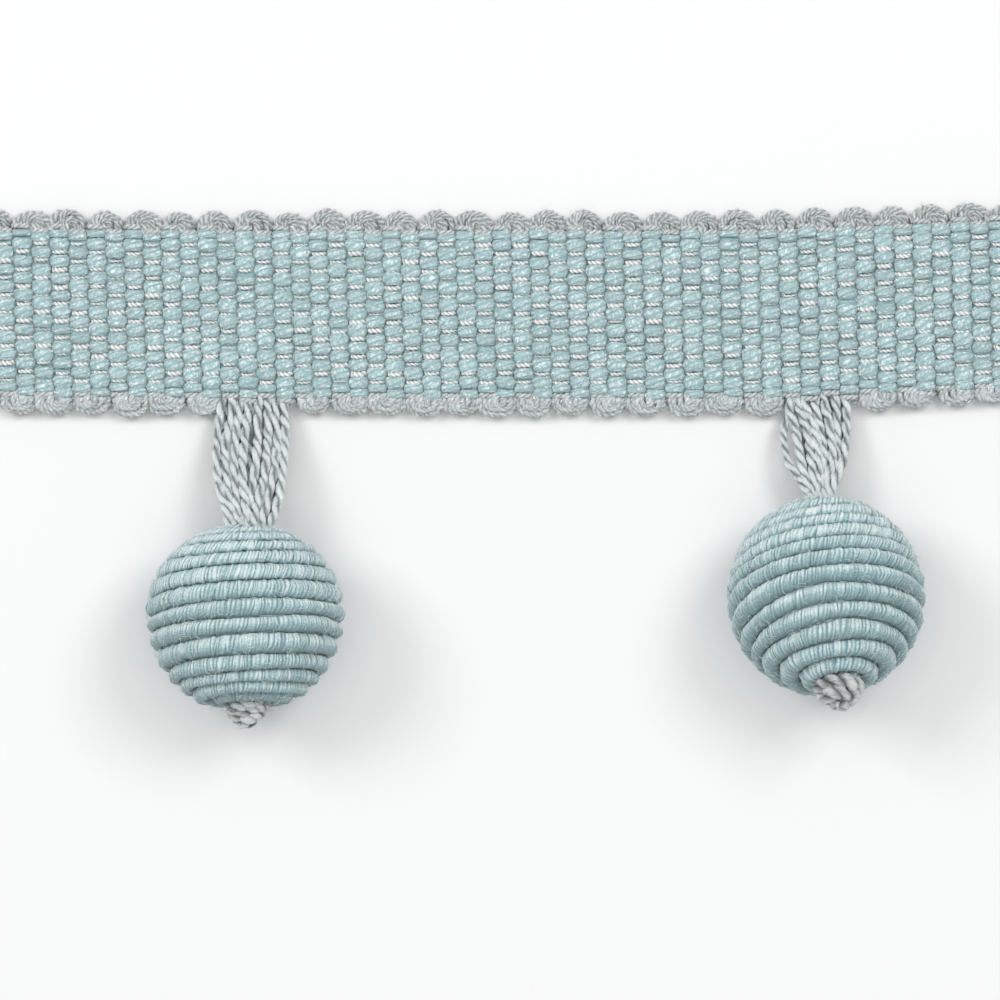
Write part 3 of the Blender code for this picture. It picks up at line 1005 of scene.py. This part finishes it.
def knot(random, drop, looks):
    """The knot that stops the strands below a bead: a few tight turns of thick yarn."""
    form = drop.knot
    share = np.linspace(0, 1, KNOT_POINTS)
    angle = 2 * pi * form.turns * share + form.start
    reach = (form.across - form.yarn) * (1 - form.taper * share**2)
    aside = reach * np.cos(angle)
    path = np.stack((
        drop.shift + aside + random.normal(0, KNOT_WANDER, KNOT_POINTS),
        reach * np.sin(angle) * form.deep / form.across,
        drop.bluntness * BEAD_RADIUS - KNOT_SEAT + form.yarn
        + (form.length - 2 * form.yarn) * share
        + form.slant * aside,
    ), 1)
    radius, offset = (share * form.yarn for share in KNOT_PLY)
    made = plied(
        even_path(path, 0.14), 2, radius, offset, 2 * pi / form.pitch, fall=KNOT_FALL
    )
    place = bead_frame(drop)
    tubes = [tube._replace(rings=placed(place, tube.rings)) for tube in made]
    nodes = [f"knot_{drop.side}"]
    add_piece(f"knotted_yarn_{drop.side}", tubes, looks["knot"], nodes)


# ---------------- loose fibres

FIBRE_RADIUS = 0.014
BEAD_FIBRES = 1400
FIBRE_ROOT = 0.12  # how far inside a bead's cord its fibres start
GROUND_GAP = 0.02
TAPE_CUTS = (0.5, 2.5)  # how far from the tape's two cuts its fibres keep
# How long fibres are and how far they stand off, at least and at most, and how far they bend.
Fuzz = namedtuple("Fuzz", "length lift bend")
BEAD_FUZZ = Fuzz((0.3, 1.1), (0.06, 0.25), 0.5)
TAPE_FUZZ = Fuzz((0.3, 1.0), (0.05, 0.2), 0.4)
# Strips of loose fibres along the tape: how many, the two distances from its middle line
# that they lie between, their height, and how far they tip towards +Y.
Strip = namedtuple("Strip", "count low high height tilt")
FACE_STRIP = Strip(1800, -7.6, 7.8, 1.98, 0.0)
UPPER_STRIP = Strip(600, 8.3, 10.0, 1.35, 1.2)
LOWER_STRIP = Strip(600, -9.7, -8.2, 1.6, -1.2)


def fibre(random, start, along, out, fuzz):
    """A fine loose fibre that leaves a yarn, stands off it and curls back towards it."""
    length, lift = random.uniform(*fuzz.length), random.uniform(*fuzz.lift)
    bend = random.normal(0, fuzz.bend)
    share = np.linspace(0, 1, 4)[:, None]
    side = np.cross(along, out)
    path = start + length * share * along + lift * np.sin(pi * share * 0.85) * out
    path = path + bend * length * share**2 * side
    half = (FIBRE_RADIUS, FIBRE_RADIUS)
    return spun(path, half, lobes=3, per_lobe=1, relief=0.0, twist=0.0, up=out)


def bead_fibres(random, drop):
    """Loose fibres all over a bead, apart from any that would reach into the ground."""
    place = bead_frame(drop)
    tubes = []
    while len(tubes) < BEAD_FIBRES:
        out = unit(random.normal(0, 1, 3))
        along = unit(np.cross(out, random.normal(0, 1, 3)))
        start = out * (BEAD_RADIUS - FIBRE_ROOT)
        start[2] = flattened(drop, start[2])
        strand = fibre(random, start, along, out, BEAD_FUZZ)
        rings = placed(place, strand.rings)
        if rings[..., 2].min() > GROUND_GAP:
            tubes.append(strand._replace(rings=rings))
    return tubes


def tape_fibres(random, strip):
    """Loose fibres over one strip of the tape."""
    tubes = []
    for _ in range(strip.count):
        x = random.uniform(-LENGTH / 2 + TAPE_CUTS[0], LENGTH / 2 - TAPE_CUTS[1])
        y = random.uniform(strip.low, strip.high)
        angle = random.uniform(0, 2 * pi)
        out = unit(np.array((random.normal(0, 0.25), strip.tilt, 1.0)))
        along = unit(np.cross(out, (np.sin(angle), -np.cos(angle), 0.0)))
        start = np.array((x, y + drift(np.array(x)), strip.height - random.uniform(0, 0.2)))
        tubes.append(fibre(random, start, along, out, TAPE_FUZZ))
    return tubes


def loose_fibres(look):
    """The fibres that stand off the beads, the tape's face and the picots."""
    random = np.random.default_rng(53)
    for drop in DROPS:
        tubes = bead_fibres(random, drop)
        add_piece(f"gimp_fibres_{drop.side}", tubes, look)
    add_piece("tape_fibres", tape_fibres(random, FACE_STRIP), look)
    tubes = tape_fibres(random, UPPER_STRIP) + tape_fibres(random, LOWER_STRIP)
    add_piece("picot_fibres", tubes, look)


# ---------------- stage

VIEW_WIDTH = 97.0  # what the camera sees across, at the height of the tape's face
CAMERA_HEIGHT = 700.0
VIEW_CENTRE = (-4.03, -17.95)
FLOOR_SIZE = 3.0  # in metres, as are the lights' places and sizes
FLOOR_COLOUR = (0.8, 0.8, 0.797, 1.0)
SKY_COLOUR = (0.98, 0.99, 1.0, 1.0)
SKY_STRENGTH = 0.48
Lamp = namedtuple("Lamp", "name place size power")
LAMPS = (
    Lamp("top_light", (0.0, 0.05, 1.0), 0.8, 3.2),
    Lamp("left_light", (-0.55, 0.28, 0.73), 0.34, 2.95),
    Lamp("right_light", (0.41, 0.31, 0.8), 0.34, 2.75),
)


def add_floor():
    """The matt paper that the trim lies on."""
    bpy.ops.mesh.primitive_plane_add(size=FLOOR_SIZE)
    floor = bpy.context.object
    floor.name = "floor"
    material, _, shader = new_material("paper")
    shader.inputs["Base Color"].default_value = FLOOR_COLOUR
    shader.inputs["Roughness"].default_value = 0.9
    shader.inputs["Specular IOR Level"].default_value = 0.1
    floor.data.materials.append(material)


def add_camera(scene):
    """The camera, straight above the trim and far enough off to see it almost flat on."""
    camera = bpy.data.objects.new("camera", bpy.data.cameras.new("camera"))
    scene.collection.objects.link(camera)
    camera.location = Vector((*VIEW_CENTRE, CAMERA_HEIGHT)) * MM
    camera.data.sensor_width = 36.0
    reach = CAMERA_HEIGHT - THICKNESS
    camera.data.lens = camera.data.sensor_width * reach / VIEW_WIDTH
    camera.data.clip_start = 0.05
    camera.data.clip_end = 10.0
    scene.camera = camera


def add_light(scene):
    """A pale sky and three soft lamps, each aimed at the origin."""
    world = bpy.data.worlds.new("studio")
    world.use_nodes = True
    sky = world.node_tree.nodes["Background"]
    sky.inputs["Color"].default_value = SKY_COLOUR
    sky.inputs["Strength"].default_value = SKY_STRENGTH
    scene.world = world
    for lamp in LAMPS:
        data = bpy.data.lights.new(lamp.name, "AREA")
        data.shape = "SQUARE"
        data.size = lamp.size
        data.energy = lamp.power
        light = bpy.data.objects.new(lamp.name, data)
        light.location = lamp.place
        light.rotation_mode = "QUATERNION"
        light.rotation_quaternion = Vector(lamp.place).to_track_quat("Z", "Y")
        scene.collection.objects.link(light)
    scene.view_settings.view_transform = "Standard"
    scene.view_settings.look = "None"


def main():
    """Builds the trim and its stage."""
    looks = {name: yarn_material(name, yarn) for name, yarn in YARNS.items()}
    core = weft_core(looks["core"])
    others = tape(looks) + picots(looks)
    random = np.random.default_rng(37)
    for drop in DROPS:
        hanger(random, drop, looks)
        bead(random, drop, looks)
        knot(random, drop, looks)
    loose_fibres(looks["fuzz"])
    add_floor()
    add_camera(bpy.context.scene)
    add_light(bpy.context.scene)


main()
